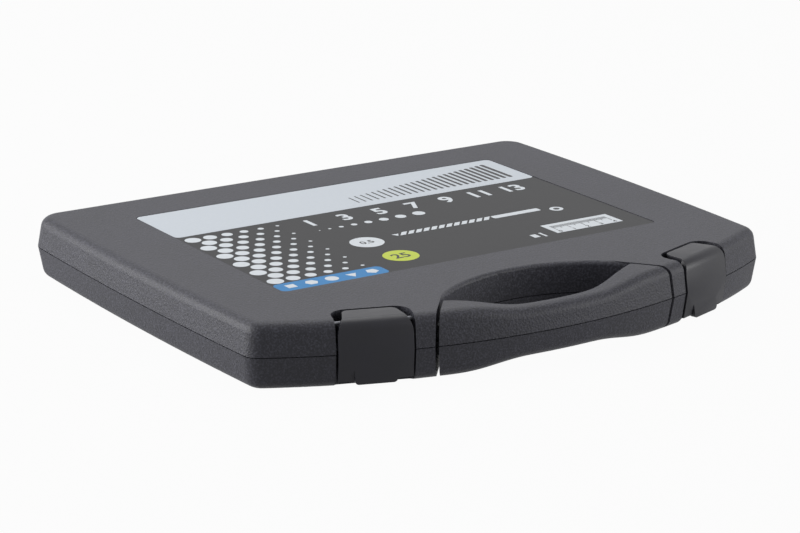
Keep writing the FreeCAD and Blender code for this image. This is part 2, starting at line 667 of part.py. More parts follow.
def latch_hook():
    """Hook on the latch's back that lies under the catch."""
    wall_y = FRONT_Y + BASE_RECESS
    slope = CATCH_SLOPE / CATCH_REACH
    low = BASE_HEIGHT - CATCH_BELOW_PARTING - HOOK_GAP
    tip_y = wall_y - CATCH_REACH + HOOK_OVERLAP
    root_y = FRONT_Y + LATCH_THICKNESS
    points = [(root_y, low + slope * (wall_y - root_y)), (tip_y, low + slope * (wall_y - tip_y)),
              (tip_y, low - HOOK_HEIGHT / 2), (root_y, low - HOOK_HEIGHT)]
    half = CATCH_WIDTH / 2 - LATCH_SIDE_GAP
    return side_profile(points, -half, half)


def latch_tab():
    """Finger tab that stands a little out and down from the plate."""
    low_z = LATCH_FOOT_CLEAR
    top_z = low_z + TAB_TOP
    low = FRONT_Y + (HINGE_Z - low_z) * DRAFT
    top = FRONT_Y + (HINGE_Z - top_z) * DRAFT
    inner = LATCH_THICKNESS * TAB_INNER_SHARE
    points = [(top, top_z), (low - TAB_FLARE, low_z + TAB_DROP / 2), (low - TAB_FLARE, low_z - TAB_DROP),
              (low + inner / 2, low_z - TAB_DROP), (low + inner, low_z), (top + inner, top_z)]
    tab = side_profile(points, -TAB_WIDTH / 2, TAB_WIDTH / 2)
    corners = [e for e in tab.Edges if abs(e.CenterOfMass.z - low_z + TAB_DROP) < WALL / 100
               and e.BoundBox.XLength < WALL / 100]
    return tab.makeFillet(TAB_CORNER, corners)


def latch():
    body = latch_profile().common(arch_tool()).common(plan_tool())
    half = LATCH_TOP_WIDTH / 2 - LATCH_SIDE_GAP
    barrel = cylinder(LATCH_BARREL_RADIUS, vec(-half, PIVOT_Y, PIVOT_Z), vec(1, 0), half * 2)
    body = body.fuse(barrel).fuse(latch_hook()).fuse(latch_tab())
    bore_half = LATCH_WIDTH / 2
    bore_start = vec(-bore_half, PIVOT_Y, PIVOT_Z)
    return body.cut(cylinder(LATCH_PIN_RADIUS + RUNNING_GAP, bore_start, vec(1, 0), bore_half * 2))


def latch_pin():
    half = RECESS_HALF + LATCH_PIN_GRIP
    return cylinder(LATCH_PIN_RADIUS, vec(-half, PIVOT_Y, PIVOT_Z), vec(1, 0), half * 2)


def bit_places():
    """Diameter, x and length of every bit that the racks hold."""
    sizes = [SMALLEST_BIT + BIT_STEP * number for number in range(len(BIT_LENGTHS))]
    span = sum(sizes) + BIT_GAP * (len(sizes) - 1)
    x = -span / 2
    places = []
    for size, length in zip(sizes, BIT_LENGTHS):
        places.append((size, x + size / 2, length))
        x += size + BIT_GAP
    return places


def rack_bits(name):
    """The bits that are long enough to reach this rack."""
    reach = RACK_TO_BACK[name] - BIT_END_TO_BACK
    return [bit for bit in bit_places() if bit[2] >= reach]


def rack_span(name):
    bits = rack_bits(name)
    first, last = bits[0], bits[-1]
    return first[1] - first[0] / 2 - RACK_MARGIN, last[1] + last[0] / 2 + RACK_MARGIN


def rack_y(name):
    return BACK_Y - RACK_TO_BACK[name]


def rack_screw_places(name):
    x0, x1 = rack_span(name)
    y = rack_y(name) + RACK_THICKNESS / 2
    return [(x0 - RACK_FOOT_LENGTH / 2, y), (x1 + RACK_FOOT_LENGTH / 2, y)]


def rack(name):
    """Comb of round-bottomed seats, one for each bit, with a screwed foot at each end."""
    x0, x1 = rack_span(name)
    y0 = rack_y(name)
    y1 = y0 + RACK_THICKNESS
    top_z = BASE_HEIGHT - RACK_TOP_DROP
    foot_z = FLOOR_Z + RACK_BOSS_HEIGHT
    bar = block(x0, x1, y0, y1, FLOOR_Z, top_z)
    ends = [e for e in bar.Edges if abs(e.CenterOfMass.z - top_z) < WALL / 100 and e.BoundBox.XLength < WALL]
    bar = bar.makeFillet(RACK_MARGIN / 2, ends)
    feet = block(x0 - RACK_FOOT_LENGTH, x1 + RACK_FOOT_LENGTH, y0, y1, foot_z, foot_z + RACK_FOOT_HEIGHT)
    bar = bar.fuse(feet)
    cuts = []
    for size, x, _ in rack_bits(name):
        radius = size / 2 + SEAT_CLEARANCE
        axis_z = BASE_HEIGHT - BIT_TOP_DROP - size / 2
        round_part = cylinder(radius, vec(x, y0 - OVERRUN, axis_z), vec(0, 1), RACK_THICKNESS + OVERRUN * 2)
        slot = block(x - radius, x + radius, y0 - OVERRUN, y1 + OVERRUN, axis_z, top_z + OVERRUN)
        cuts.append(round_part.fuse(slot))
    for x, y in rack_screw_places(name):
        cuts.append(cylinder(SCREW_RADIUS + SCREW_CLEARANCE, vec(x, y, foot_z), vec(0, 0, 1), RACK_FOOT_HEIGHT))
    return bar.cut(Part.makeCompound(cuts))


def size_strip():
    """Strip on the base's floor between the two back racks, for the sizes of the bits."""
    x0, x1 = rack_span("waist_rack")
    middle = BACK_Y - (RACK_TO_BACK["shank_rack"] + RACK_TO_BACK["waist_rack"] - RACK_THICKNESS) / 2
    return block(x0, x1, middle - STRIP_WIDTH / 2, middle + STRIP_WIDTH / 2, FLOOR_Z, FLOOR_Z + STRIP_THICKNESS)


def screw(place, up, length):
    """Pan-head screw: place is under the head, which stands towards up."""
    towards = vec(0, 0, up)
    body = cylinder(SCREW_HEAD_RADIUS, place, towards, SCREW_HEAD_HEIGHT)
    body = body.fuse(cylinder(SCREW_RADIUS, place, vec(0, 0, -up), length))
    drive = cylinder(SCREW_DRIVE_RADIUS, place + vec(0, 0, up * (SCREW_HEAD_HEIGHT - SCREW_DRIVE_DEPTH)), towards,
                     SCREW_DRIVE_DEPTH)
    return body.cut(drive)


def rack_screws():
    z = FLOOR_Z + RACK_BOSS_HEIGHT + RACK_FOOT_HEIGHT
    length = RACK_FOOT_HEIGHT + RACK_SCREW_BITE - SCREW_TIP_ROOM
    places = [vec(x, y, z) for name in RACK_TO_BACK for x, y in rack_screw_places(name)]
    return Part.makeCompound([screw(place, 1, length) for place in places])


def handle_screws(part_z, up):
    """The two screws of one handle half, sunk in its tongues from the parting side."""
    head_z = part_z + up * (TONGUE_INSET + SCREW_HEAD_HEIGHT)
    length = TONGUE_HEIGHT - SCREW_HEAD_HEIGHT + TONGUE_SCREW_GRIP - SCREW_TIP_ROOM
    screws = [screw(tongue_screw_place(side) + vec(0, 0, head_z), -up, length) for side in (-1, 1)]
    return Part.makeCompound(screws)


PIECES = {
    "base_shell": base_shell,
    "lid_shell": lid_shell,
    "lower_handle": lambda: handle_half(BASE_HEIGHT, -1, BASE_HEIGHT),
    "upper_handle": lambda: handle_half(LID_Z, 1, LID_HEIGHT),
    "left_latch": lambda: turned(latch(), -LATCH_ANGLE),
    "right_latch": lambda: turned(latch(), LATCH_ANGLE),
    "left_latch_pin": lambda: turned(latch_pin(), -LATCH_ANGLE),
    "right_latch_pin": lambda: turned(latch_pin(), LATCH_ANGLE),
    "left_hinge_pin": lambda: hinge_rod(-HINGE_X, HINGE_PIN_RADIUS),
    "right_hinge_pin": lambda: hinge_rod(HINGE_X, HINGE_PIN_RADIUS),
    "label_panel": label_panel,
    "shank_rack": lambda: rack("shank_rack"),
    "waist_rack": lambda: rack("waist_rack"),
    "middle_rack": lambda: rack("middle_rack"),
    "front_rack": lambda: rack("front_rack"),
    "size_strip": size_strip,
    "lid_foam": lid_foam,
    "rack_screws": rack_screws,
    "lower_handle_screws": lambda: handle_screws(BASE_HEIGHT, -1),
    "upper_handle_screws": lambda: handle_screws(LID_Z, 1),
}

os.makedirs("parts", exist_ok=True)
for node, make in PIECES.items():
    shape = make()
    shape.exportStep("parts/" + node + ".step")
    print(node, len(shape.Solids), "solids, valid", shape.isValid(), "volume", round(shape.Volume))
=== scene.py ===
"""Looks for the drill bit case: moulded plastics, printed label, foam, screws and the studio.

Metres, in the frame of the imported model. Sizes of new pieces are written in millimetres times MM.
"""
import bpy
import math
from mathutils import Matrix, Vector


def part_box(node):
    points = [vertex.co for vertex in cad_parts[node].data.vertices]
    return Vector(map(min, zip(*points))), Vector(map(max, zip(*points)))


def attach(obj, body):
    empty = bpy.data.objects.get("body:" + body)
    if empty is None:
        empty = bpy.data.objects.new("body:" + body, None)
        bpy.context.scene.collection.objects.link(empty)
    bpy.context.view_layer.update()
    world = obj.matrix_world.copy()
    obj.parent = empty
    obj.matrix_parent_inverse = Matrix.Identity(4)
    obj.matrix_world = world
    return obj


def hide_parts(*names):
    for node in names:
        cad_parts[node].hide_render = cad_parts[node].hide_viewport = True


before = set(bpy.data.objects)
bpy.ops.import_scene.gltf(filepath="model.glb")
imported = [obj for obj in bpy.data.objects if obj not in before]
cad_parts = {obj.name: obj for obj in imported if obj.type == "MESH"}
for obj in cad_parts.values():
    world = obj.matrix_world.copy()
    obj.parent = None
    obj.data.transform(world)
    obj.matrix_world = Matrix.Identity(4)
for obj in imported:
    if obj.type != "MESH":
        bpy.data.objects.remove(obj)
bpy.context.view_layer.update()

MM = 0.001

# Camera, worked out from the case's edges in the photograph
CAMERA_PLACE = Vector((-0.8078, -1.24375, 0.4638))
CAMERA_LOOK = Vector((0.5172, 0.8050, -0.29075))
CAMERA_LENS = 116.83

# Studio
ROOM_LIGHT = 0.17
FLOOR_GLOW = 0.96
FLOOR_GREY = 0.25
FLOOR_SIZE = 12
LAMPS = (("lamp_top", (0.3, 0.6, 1.6), 1.4, 17),
         ("lamp_left", (-1.35, 0.75, 0.4), 1.4, 51),
         ("lamp_right", (1.25, -1.1, 0.4), 1.0, 20))

# Printed label
INK = 0.04 * MM
BAND_DEPTH = 52.7 * MM
LABEL_CORNER = 3.6 * MM
PATTERN_WIDTH = 67.0 * MM
STRIP_DEPTH = 14.0 * MM
STRIP_WIDTH = 70.0 * MM
DIGIT_SHARE = 0.69

# Dots that shrink across the label
DOT_PITCH_X = 11.4 * MM
DOT_PITCH_Y = 9.6 * MM
LARGEST_DOT = 5.3 * MM
SMALLEST_DOT = 0.9 * MM

# Shapes on the blue strip
SHAPE_START = 9.0 * MM
SHAPE_PITCH = 13.2 * MM
SHAPE_RADIUS = 4.0 * MM

# Picture of a bit on the label
PICTURE_TIP = -19.0 * MM
PICTURE_FLUTE_END = 50.0 * MM
PICTURE_END = 87.0 * MM
PICTURE_Y = -7.5 * MM
PICTURE_RADIUS = 2.7 * MM
LAND_WIDTH = 3.8 * MM
LAND_PITCH = 5.4 * MM
LAND_SLANT = 0.8

# Row of dots of growing size
GAUGE_START = -50.0 * MM
GAUGE_Y = 24.5 * MM
GAUGE_GAP = 5.5 * MM

# Numbers and discs on the label
NUMBERS = (1, 3, 5, 7, 9, 11, 13)
NUMBER_START = -46 * MM
NUMBER_PITCH = 24.5 * MM
NUMBER_Y = 35.5 * MM
NUMBER_HEIGHT = 12.0 * MM
NUMBER_BOLD = 0.5 * MM
STEP_DISC = (-39 * MM, -11.5 * MM, 10.3 * MM)
STEP_Y = -14 * MM
STEP_HEIGHT = 5.2 * MM
COUNT_DISC = (-37 * MM, -45 * MM, 10.7 * MM)
COUNT_Y = -49 * MM
COUNT_HEIGHT = 8 * MM
RING = (96.5 * MM, -12.5 * MM, 4.3 * MM)
RING_HOLE = 2.0 * MM

# Ruler and marks beside it: x and y from one corner to the other
RULER = (66 * MM, 114.3 * MM, -56 * MM, -38 * MM)
SQUARE_MARK = (49 * MM, 53 * MM, -57 * MM, -51 * MM)
BAR_MARK = (56 * MM, 57.5 * MM, -58 * MM, -50 * MM)
RULER_START = 70 * MM
RULER_TOP = -42 * MM
RULER_NUMBERS_Y = -55 * MM
RULER_NUMBER_HEIGHT = 3.2 * MM
TICKS = 41
TICK_PITCH = 1.0 * MM
TICK_WIDTH = 0.44 * MM
LONG_TICK = 8.5 * MM
MIDDLE_TICK = 6.0 * MM
SHORT_TICK = 4.0 * MM

# Bars on the pale band
BAR_START = 3.0 * MM
BAR_PITCH = 4.75 * MM
BAR_ABOVE_BAND_EDGE = 8.5 * MM

# Bits that the racks are made for
SMALLEST_BIT = 1.0
BIT_STEP = 0.5
BIT_COUNT = 25
BIT_GAP = 5.6

# Latches
LATCH_EDGE = 0.45 * MM

# Foam and screws
FOAM_EDGE = 1.2 * MM
FOAM_CELL = 0.9 * MM
FOAM_DIP = 0.25 * MM
FOAM_WAVE = 0.15 * MM
FOAM_WAVE_X = 17 * MM
FOAM_WAVE_Y = 23 * MM
RACK_FOOT = 11.0 * MM
SCREW_HEAD_RADIUS = 2.8 * MM
SCREW_HEAD_HEIGHT = 1.6 * MM
SCREW_HEAD_ROUND = 0.7 * MM
SCREW_CROSS_WIDTH = 0.75 * MM
SCREW_CROSS_REACH = 1.7 * MM
SCREW_CROSS_DEPTH = 0.9 * MM
SCREW_CORE_RADIUS = 1.0 * MM
SCREW_THREAD_RADIUS = 1.4 * MM
SCREW_THREAD_PITCH = 1.0 * MM


def linear(code):
    """sRGB hex to the linear colour that a shader takes."""
    channels = [int(code[place:place + 2], 16) / 255 for place in (1, 3, 5)]
    return [c / 12.92 if c <= 0.04045 else ((c + 0.055) / 1.055) ** 2.4 for c in channels] + [1.0]


def add(tree, kind, inputs=None, **settings):
    """Add a node: settings by name, and inputs that are values or other nodes' outputs."""
    made = tree.nodes.new(kind)
    for name, value in settings.items():
        setattr(made, name, value)
    for key, value in (inputs or {}).items():
        if isinstance(value, bpy.types.NodeSocket):
            tree.links.new(value, made.inputs[key])
        else:
            made.inputs[key].default_value = value
    return made


def start_material(name, **values):
    """New material with its shader's constants set. Returns it, its tree, shader and coordinates."""
    made = bpy.data.materials.new(name)
    made.use_nodes = True
    tree = made.node_tree
    shader = tree.nodes["Principled BSDF"]
    for key, value in values.items():
        shader.inputs[key.replace("_", " ")].default_value = value
    place = add(tree, "ShaderNodeTexCoord").outputs["Object"]
    return made, tree, shader, place


def spark_eroded_polypropylene():
    """Polypropylene from a spark-eroded mould: dull and sandy, brighter where it is seen at a low angle.

    The real grain is about 0.3 mm. It is drawn at 1.1 mm, or it would be too fine to see.
    """
    made, tree, shader, place = start_material("spark_eroded_polypropylene", IOR=1.49)
    shader.inputs["Specular IOR Level"].default_value = 0.3
    sand = add(tree, "ShaderNodeTexNoise", {"Vector": place, "Scale": 1 / (1.1 * MM), "Detail": 2.0})
    pits = add(tree, "ShaderNodeTexVoronoi", {"Vector": place, "Scale": 1 / (1.3 * MM)})
    flow = add(tree, "ShaderNodeTexNoise", {"Vector": place, "Scale": 1 / (45 * MM), "Detail": 3.0})
    tone = add(tree, "ShaderNodeMapRange", {"Value": flow.outputs["Fac"], "From Min": 0.35, "From Max": 0.65})
    shade = add(tree, "ShaderNodeMix", {0: tone.outputs["Result"], 6: linear("#202026"), 7: linear("#24242b")},
                data_type="RGBA")
    speck = add(tree, "ShaderNodeMapRange", {"Value": sand.outputs["Fac"], "From Min": 0.45, "From Max": 0.7})
    colour = add(tree, "ShaderNodeMix", {0: speck.outputs["Result"], 6: shade.outputs[2], 7: linear("#414149")},
                 data_type="RGBA")
    rough = add(tree, "ShaderNodeMapRange", {"Value": sand.outputs["Fac"], "From Min": 0.3, "From Max": 0.7,
                                             "To Min": 0.46, "To Max": 0.6})
    height = add(tree, "ShaderNodeMath", {0: sand.outputs["Fac"], 1: pits.outputs["Distance"]},
                 operation="ADD")
    bump = add(tree, "ShaderNodeBump", {"Height": height.outputs[0], "Strength": 0.45, "Distance": 0.3 * MM})
    tree.links.new(colour.outputs[2], shader.inputs["Base Color"])
    tree.links.new(rough.outputs["Result"], shader.inputs["Roughness"])
    tree.links.new(bump.outputs["Normal"], shader.inputs["Normal"])
    return made


def smooth_polypropylene():
    """The latches, from a smooth mould: soft, wide reflections, with faint flow marks and fine scuffs."""
    made, tree, shader, place = start_material("smooth_moulded_polypropylene", IOR=1.49)
    shader.inputs["Specular IOR Level"].default_value = 0.3
    flow = add(tree, "ShaderNodeTexNoise", {"Vector": place, "Scale": 1 / (14 * MM), "Detail": 4.0})
    scuff = add(tree, "ShaderNodeTexNoise", {"Vector": place, "Scale": 1 / (1.2 * MM), "Detail": 5.0})
    colour = add(tree, "ShaderNodeMix", {0: flow.outputs["Fac"], 6: linear("#1a1a1f"), 7: linear("#202027")},
                 data_type="RGBA")
    rough = add(tree, "ShaderNodeMapRange", {"Value": flow.outputs["Fac"], "From Min": 0.3, "From Max": 0.7,
                                             "To Min": 0.38, "To Max": 0.48})
    bump = add(tree, "ShaderNodeBump", {"Height": scuff.outputs["Fac"], "Strength": 0.15, "Distance": 0.06 * MM})
    tree.links.new(colour.outputs[2], shader.inputs["Base Color"])
    tree.links.new(rough.outputs["Result"], shader.inputs["Roughness"])
    tree.links.new(bump.outputs["Normal"], shader.inputs["Normal"])
    return made


def rack_polypropylene():
    """Black polypropylene of the racks: satin, with the faint swirl of a small mould."""
    made, tree, shader, place = start_material("satin_black_polypropylene", IOR=1.49)
    flow = add(tree, "ShaderNodeTexNoise", {"Vector": place, "Scale": 1 / (9 * MM), "Detail": 4.0,
                                            "Distortion": 1.2})
    colour = add(tree, "ShaderNodeMix", {0: flow.outputs["Fac"], 6: linear("#1a1a1c"), 7: linear("#232326")},
                 data_type="RGBA")
    rough = add(tree, "ShaderNodeMapRange", {"Value": flow.outputs["Fac"], "From Min": 0.3, "From Max": 0.7,
                                             "To Min": 0.38, "To Max": 0.5})
    bump = add(tree, "ShaderNodeBump", {"Height": flow.outputs["Fac"], "Strength": 0.15, "Distance": 0.1 * MM})
    tree.links.new(colour.outputs[2], shader.inputs["Base Color"])
    tree.links.new(rough.outputs["Result"], shader.inputs["Roughness"])
    tree.links.new(bump.outputs["Normal"], shader.inputs["Normal"])
    return made


def printed_film(name, first, second, roughness, gloss=0.25):
    """Satin film or screen ink: even colour with a slight mottle, and the soft waviness of a laid film."""
    made, tree, shader, place = start_material(name, IOR=1.5, Roughness=roughness)
    shader.inputs["Specular IOR Level"].default_value = gloss
    mottle = add(tree, "ShaderNodeTexNoise", {"Vector": place, "Scale": 1 / (2.5 * MM), "Detail": 3.0})
    wave = add(tree, "ShaderNodeTexNoise", {"Vector": place, "Scale": 1 / (22 * MM), "Detail": 2.0})
    colour = add(tree, "ShaderNodeMix", {0: mottle.outputs["Fac"], 6: linear(first), 7: linear(second)},
                 data_type="RGBA")
    bump = add(tree, "ShaderNodeBump", {"Height": wave.outputs["Fac"], "Strength": 0.2, "Distance": 0.15 * MM})
    tree.links.new(colour.outputs[2], shader.inputs["Base Color"])
    tree.links.new(bump.outputs["Normal"], shader.inputs["Normal"])
    return made


def drawn_steel():
    """Drawn wire of the pins, with drawing lines along the pin. Its grey is much darker than bare steel: painted
    shade, for the pins that sit in the shade of the latch recesses.
    """
    made, tree, shader, place = start_material("drawn_steel_wire_painted_shade", Metallic=1.0)
    grain = add(tree, "ShaderNodeTexNoise", {"Vector": place, "Scale": 1 / (0.3 * MM), "Detail": 3.0})
    # Steel colours set well below bare steel: painted shade of the latch recesses.
    colour = add(tree, "ShaderNodeMix", {0: grain.outputs["Fac"], 6: linear("#505156"), 7: linear("#66676b")},
                 data_type="RGBA")
    rough = add(tree, "ShaderNodeMapRange", {"Value": grain.outputs["Fac"], "To Min": 0.3, "To Max": 0.46})
    bump = add(tree, "ShaderNodeBump", {"Height": grain.outputs["Fac"], "Strength": 0.2, "Distance": 0.02 * MM})
    tree.links.new(colour.outputs[2], shader.inputs["Base Color"])
    tree.links.new(rough.outputs["Result"], shader.inputs["Roughness"])
    tree.links.new(bump.outputs["Normal"], shader.inputs["Normal"])
    return made


def zinc_plate():
    """Bright zinc plating of the screws: silvery, with a clouded passivation."""
    made, tree, shader, place = start_material("zinc_plated_steel", Metallic=1.0)
    cloud = add(tree, "ShaderNodeTexNoise", {"Vector": place, "Scale": 1 / (1.5 * MM), "Detail": 4.0})
    colour = add(tree, "ShaderNodeMix", {0: cloud.outputs["Fac"], 6: linear("#b9bcc0"), 7: linear("#d3d3cf")},
                 data_type="RGBA")
    rough = add(tree, "ShaderNodeMapRange", {"Value": cloud.outputs["Fac"], "To Min": 0.25, "To Max": 0.42})
    tree.links.new(colour.outputs[2], shader.inputs["Base Color"])
    tree.links.new(rough.outputs["Result"], shader.inputs["Roughness"])
    return made


def open_cell_foam():
    """Grey polyurethane foam: no gloss at all, and cut cells that read as dark pinholes, their darkness a
    painted shade in the colour.
    """
    made, tree, shader, place = start_material("open_cell_polyurethane", Roughness=0.95)
    shader.inputs["Specular IOR Level"].default_value = 0.15
    shader.inputs["Sheen Weight"].default_value = 0.15
    cells = add(tree, "ShaderNodeTexVoronoi", {"Vector": place, "Scale": 1 / FOAM_CELL})
    clumps = add(tree, "ShaderNodeTexNoise", {"Vector": place, "Scale": 1 / (6 * MM), "Detail": 4.0})
    pits = add(tree, "ShaderNodeMapRange", {"Value": cells.outputs["Distance"], "From Min": 0.1,
                                            "From Max": 0.55})
    mixed = add(tree, "ShaderNodeMath", {0: pits.outputs["Result"], 1: clumps.outputs["Fac"]},
                operation="MULTIPLY")
    # Darker colour in the cell pits is painted shade in the pinholes; the clumps add a random tone.
    colour = add(tree, "ShaderNodeMix", {0: mixed.outputs[0], 6: linear("#2b2b2e"), 7: linear("#5c5c61")},
                 data_type="RGBA")
    bump = add(tree, "ShaderNodeBump", {"Height": pits.outputs["Result"], "Strength": 0.9, "Distance": 0.4 * MM})
    tree.links.new(colour.outputs[2], shader.inputs["Base Color"])
    tree.links.new(bump.outputs["Normal"], shader.inputs["Normal"])
    return made


SHELL = spark_eroded_polypropylene()
LATCH = smooth_polypropylene()
RACK = rack_polypropylene()
FILM = printed_film("dark_label_film", "#18181a", "#1d1d20", 0.4, 0.12)
LIGHT_INK = printed_film("pale_grey_ink", "#afb5bc", "#b6bcc3", 0.46)
WHITE_INK = printed_film("white_ink", "#bbc0c5", "#c4c9ce", 0.46)
BLUE_INK = printed_film("blue_ink", "#02659c", "#0a6fa8", 0.44)
LIME_INK = printed_film("lime_ink", "#a6b330", "#aebc3a", 0.46)
DARK_INK = printed_film("dark_ink", "#1b1b1d", "#222224", 0.46)
STRIP_FILM = printed_film("pale_strip_film", "#b9bdc1", "#c4c8cc", 0.5)
STEEL_PAINTED_SHADE = drawn_steel()
ZINC = zinc_plate()
FOAM = open_cell_foam()

NODE_MATERIALS = {
    SHELL: ("base_shell", "lid_shell", "lower_handle", "upper_handle"),
    LATCH: ("left_latch", "right_latch"),
    RACK: ("shank_rack", "waist_rack", "middle_rack", "front_rack"),
    FILM: ("label_panel",),
    STRIP_FILM: ("size_strip",),
    STEEL_PAINTED_SHADE: ("left_latch_pin", "right_latch_pin", "left_hinge_pin", "right_hinge_pin"),
    ZINC: ("rack_screws", "lower_handle_screws", "upper_handle_screws"),
    FOAM: ("lid_foam",),
}


def dress_nodes():
    for material, names in NODE_MATERIALS.items():
        for name in names:
            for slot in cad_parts[name].material_slots:
                slot.material = material


def deselect():
    bpy.ops.object.select_all(action="DESELECT")


def select_only(pieces):
    deselect()
    for piece in pieces:
        piece.select_set(True)
    bpy.context.view_layer.objects.active = pieces[0]


def joined(pieces):
    """One piece from several."""
    select_only(pieces)
    if len(pieces) > 1:
        bpy.ops.object.join()
    return bpy.context.object


def copy_of(model, place):
    """Copy with a mesh of its own, carried by a matrix."""
    piece = model.copy()
    piece.data = model.data.copy()
    piece.data.transform(place)
    bpy.context.collection.objects.link(piece)
    return piece


def settle(piece, name, body, material):
    """Put a finished piece's place into its mesh, name it, and say what it rides on and is made of."""
    select_only([piece])
    bpy.ops.object.transform_apply(location=True, rotation=True, scale=True)
    piece.name = name
    piece.data.name = name
    piece.data.materials.clear()
    piece.data.materials.append(material)
    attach(piece, body)
    return piece


label_low, label_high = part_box("label_panel")


def ink_level(layer):
    return label_high.z + INK * (layer - 1)


def thicken(piece):
    """Give a flat printed shape the thickness of the ink."""
    select_only([piece])
    bpy.ops.object.mode_set(mode="EDIT")
    bpy.ops.mesh.select_all(action="SELECT")
    bpy.ops.mesh.extrude_region_move(TRANSFORM_OT_translate={"value": (0, 0, INK)})
    bpy.ops.mesh.select_all(action="SELECT")
    bpy.ops.mesh.normals_make_consistent(inside=False)
    bpy.ops.object.mode_set(mode="OBJECT")
    return piece


def ink_plate(x0, x1, y0, y1, layer=1, corner=0.0, rounded=None):
    """Printed rectangle, with the corners rounded that lie where rounded says."""
    deselect()
    bpy.ops.mesh.primitive_plane_add(size=1, location=((x0 + x1) / 2, (y0 + y1) / 2, ink_level(layer)))
    piece = bpy.context.object
    piece.scale = (x1 - x0, y1 - y0, 1)
    bpy.ops.object.transform_apply(location=True, rotation=True, scale=True)
    if corner:
        for vertex in piece.data.vertices:
            vertex.select = rounded is None or rounded(vertex.co)
        bpy.ops.object.mode_set(mode="EDIT")
        bpy.ops.mesh.select_mode(type="VERT")
        bpy.ops.mesh.bevel(offset=corner, segments=8, affect="VERTICES")
        bpy.ops.object.mode_set(mode="OBJECT")
    return thicken(piece)


def ink_disc(x, y, radius, layer=1, sides=48, turn=0.0):
    """Printed disc, or a polygon with few sides."""
    deselect()
    bpy.ops.mesh.primitive_circle_add(vertices=sides, radius=radius, fill_type="NGON",
                                      location=(x, y, ink_level(layer)), rotation=(0, 0, turn))
    bpy.ops.object.transform_apply(location=True, rotation=True, scale=True)
    return thicken(bpy.context.object)


def ink_digits(text, x, y, height, layer=1, bold=0.0, ground=None):
    """Plain digits, centred on x, standing on y."""
    deselect()
    level = ink_level(layer) if ground is None else ground
    bpy.ops.object.text_add(location=(x, y, level + INK / 2))
    words = bpy.context.object
    words.data.body = text
    words.data.size = height / DIGIT_SHARE
    words.data.align_x = "CENTER"
    words.data.resolution_u = 3
    words.data.offset = bold
    words.data.extrude = INK / 2
    bpy.ops.object.convert(target="MESH")
    bpy.ops.object.transform_apply(location=True, rotation=True, scale=True)
    return bpy.context.object


def light_band():
    """Pale band across the label's back edge."""
    y0 = label_high.y - BAND_DEPTH
    piece = ink_plate(label_low.x, label_high.x, y0, label_high.y, 1, LABEL_CORNER,
                      lambda co: co.y > y0 + BAND_DEPTH / 2)
    settle(piece, "label_light_band", "lid", LIGHT_INK)


def dot_field():
    """Rows of dots that shrink from left to right, as on a printed screen."""
    y0 = label_low.y + STRIP_DEPTH + DOT_PITCH_Y * 0.6
    y1 = label_high.y - BAND_DEPTH - DOT_PITCH_Y * 0.35
    dots = []
    model = ink_disc(0, 0, 1.0)
    row = 0
    y = y0
    while y <= y1:
        x = label_low.x + DOT_PITCH_X * (0.55 if row % 2 == 0 else 1.05)
        while x < label_low.x + PATTERN_WIDTH:
            share = (x - label_low.x) / PATTERN_WIDTH
            radius = LARGEST_DOT + (SMALLEST_DOT - LARGEST_DOT) * share
            dots.append(copy_of(model, Matrix.Translation((x, y, 0)) @ Matrix.Diagonal((radius, radius, 1, 1))))
            x += DOT_PITCH_X
        y += DOT_PITCH_Y
        row += 1
    bpy.data.objects.remove(model)
    return dots


def bit_picture():
    """A twist bit from the side: tip, flutes that show as slanted lands, and a plain shank."""
    radius = PICTURE_RADIUS
    land = ink_plate(-LAND_WIDTH / 2, LAND_WIDTH / 2, -radius, radius)
    slant = Matrix(((1, LAND_SLANT, 0, 0), (0, 1, 0, 0), (0, 0, 1, 0), (0, 0, 0, 1)))
    pieces = []
    x = PICTURE_TIP + radius * 3.0
    while x < PICTURE_FLUTE_END:
        pieces.append(copy_of(land, Matrix.Translation((x, PICTURE_Y, 0)) @ slant))
        x += LAND_PITCH
    bpy.data.objects.remove(land)
    pieces.append(ink_disc(PICTURE_TIP + radius, PICTURE_Y, radius, sides=3, turn=math.pi))
    pieces.append(ink_plate(PICTURE_FLUTE_END + radius, PICTURE_END, PICTURE_Y - radius, PICTURE_Y + radius, 1,
                            radius * 0.5))
    return pieces


def gauge_row():
    """Row of dots from small to large, each a millimetre more across than the one before."""
    x = GAUGE_START
    dots = []
    for size in range(1, 9):
        radius = size * MM / 2
        dots.append(ink_disc(x + radius, GAUGE_Y, radius, sides=32))
        x += size * MM + GAUGE_GAP
    return dots


def white_print():
    pieces = dot_field() + bit_picture() + gauge_row()
    for place, number in enumerate(NUMBERS):
        pieces.append(ink_digits(str(number), NUMBER_START + place * NUMBER_PITCH, NUMBER_Y, NUMBER_HEIGHT, 1,
                                 NUMBER_BOLD))
    pieces.append(ink_disc(*STEP_DISC))
    pieces.append(ink_disc(*RING))
    for corners in (RULER, SQUARE_MARK, BAR_MARK):
        pieces.append(ink_plate(*corners))
    settle(joined(pieces), "label_white_print", "lid", WHITE_INK)


def blue_strip():
    """Blue strip along the front edge, with five plain shapes."""
    y1 = label_low.y + STRIP_DEPTH
    x1 = label_low.x + STRIP_WIDTH
    plate = ink_plate(label_low.x, x1, label_low.y, y1, 1, LABEL_CORNER,
                      lambda co: co.x < x1 - STRIP_WIDTH / 2 and co.y < y1 - STRIP_DEPTH / 2)
    settle(plate, "label_blue_strip", "lid", BLUE_INK)
    shapes = []
    for place, sides in enumerate((4, 6, 32, 3, 5)):
        x = label_low.x + SHAPE_START + SHAPE_PITCH * place
        shapes.append(ink_disc(x, label_low.y + STRIP_DEPTH * 0.52, SHAPE_RADIUS, 2, sides, math.pi / sides))
    settle(joined(shapes), "label_strip_shapes", "lid", WHITE_INK)


def lime_disc():
    settle(ink_disc(*COUNT_DISC), "label_lime_disc", "lid", LIME_INK)


